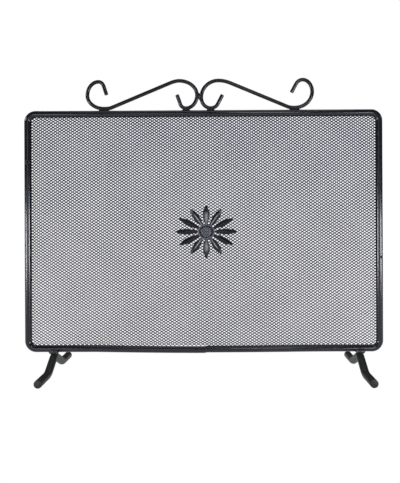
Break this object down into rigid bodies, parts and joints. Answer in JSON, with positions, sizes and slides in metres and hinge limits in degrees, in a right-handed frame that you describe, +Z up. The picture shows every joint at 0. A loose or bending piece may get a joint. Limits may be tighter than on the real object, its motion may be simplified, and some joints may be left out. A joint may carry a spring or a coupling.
{
  "type": "fireplace screen",
  "caption": "Free-standing single-panel fireplace spark guard: bent tube frame, expanded metal panel, daisy rosette, scroll top and arched bar feet.",
  "frame": {"origin": "on the floor, under the middle of the frame, at the centre of the whole object's base", "axes": "+X to the right along the frame's width as seen from the front, +Y from front to back, +Z up; the decorated front faces -Y"},
  "size_m": [0.6, 0.196, 0.4923],
  "materials": {
    "tube_paint": "satin charcoal black paint on steel tube",
    "weld_paint": "satin charcoal black paint over rough weld metal",
    "mesh_paint": "satin charcoal black paint on expanded steel mesh",
    "scroll_paint": "satin charcoal black paint on bent steel rod",
    "foot_paint": "satin charcoal black paint on bent steel bar",
    "rosette_paint": "satin charcoal black paint on pressed steel"
  },
  "bodies": {
    "root": {"frame_tube": "tube_paint", "frame_joint_weld": "weld_paint", "mesh_panel": "mesh_paint", "left_scroll": "scroll_paint", "right_scroll": "scroll_paint", "left_scroll_outer_weld": "weld_paint", "left_scroll_inner_weld": "weld_paint", "right_scroll_inner_weld": "weld_paint", "right_scroll_outer_weld": "weld_paint", "scroll_centre_weld": "weld_paint", "left_foot": "foot_paint", "right_foot": "foot_paint", "left_foot_front_weld": "weld_paint", "left_foot_rear_weld": "weld_paint", "right_foot_front_weld": "weld_paint", "right_foot_rear_weld": "weld_paint", "rosette_petals": "rosette_paint", "rosette_boss": "rosette_paint", "rosette_washer": "rosette_paint"}
  },
  "joints": []
}
